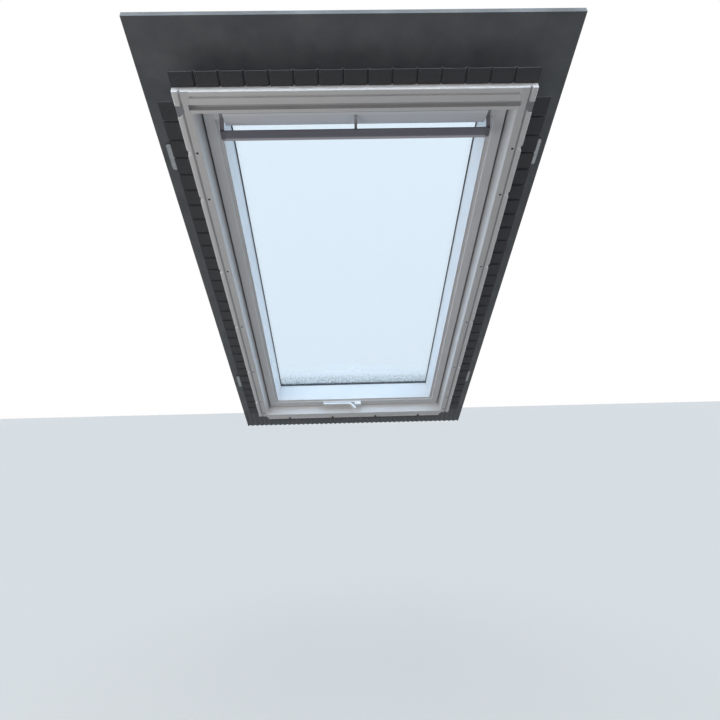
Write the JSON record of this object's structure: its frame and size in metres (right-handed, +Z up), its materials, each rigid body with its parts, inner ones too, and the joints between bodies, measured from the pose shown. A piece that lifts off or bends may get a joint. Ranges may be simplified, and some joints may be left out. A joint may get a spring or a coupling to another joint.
{
  "type": "roof window",
  "caption": "Closed white roof window at roof pitch: frame, glazed sash, top control bar, bottom lever handle, metal covers, flashing, brackets and collar.",
  "frame": {"origin": "centre of the seat face under the lower left installation bracket", "axes": "+X across the window to the right as seen from the room, +Y level and out towards the eaves, +Z up; the window lies at 32 degrees to the level and rises towards -Y"},
  "size_m": [0.934, 1.6318, 1.0281],
  "materials": {
    "white_moulding": "satin white moulded skin",
    "corner_grey": "matt grey moulding",
    "glass": "clear float glass",
    "spacer_dark": "matt dark bar",
    "rubber": "matt black",
    "bar_metal": "satin grey anodised",
    "handle_white": "satin white paint",
    "cover_grey": "satin grey coating",
    "flashing_grey": "satin grey coating",
    "skirt_grey": "matt grey pleated sheet",
    "zinc_steel": "zinc plated",
    "collar_felt": "matt black felt"
  },
  "bodies": {
    "root": {"frame_top": "white_moulding", "frame_bottom": "white_moulding", "frame_left": "white_moulding", "frame_right": "white_moulding", "sash_top": "white_moulding", "sash_bottom": "white_moulding", "sash_left": "white_moulding", "sash_right": "white_moulding", "vent_flap": "white_moulding", "frame_corner_left": "corner_grey", "frame_corner_right": "corner_grey", "pane_inner": "glass", "pane_outer": "glass", "spacer": "spacer_dark", "gasket_inner": "rubber", "gasket_outer": "rubber", "frame_seal": "rubber", "control_bar": "bar_metal", "bar_bracket_left": "bar_metal", "bar_bracket_right": "bar_metal", "bar_bracket_centre": "bar_metal", "handle_base": "handle_white", "handle_lever": "handle_white", "sash_cap_top": "cover_grey", "sash_cap_bottom": "cover_grey", "sash_cap_left": "cover_grey", "sash_cap_right": "cover_grey", "cover_left": "cover_grey", "cover_right": "cover_grey", "cover_bottom": "cover_grey", "cover_hood": "cover_grey", "flashing_left": "flashing_grey", "flashing_right": "flashing_grey", "flashing_head": "flashing_grey", "flashing_apron": "flashing_grey", "flashing_skirt": "skirt_grey", "bracket_upper_left": "zinc_steel", "bracket_upper_right": "zinc_steel", "bracket_lower_left": "zinc_steel", "bracket_lower_right": "zinc_steel", "collar_left": "collar_felt", "collar_right": "collar_felt", "collar_top": "collar_felt", "collar_bottom": "collar_felt"}
  },
  "joints": []
}
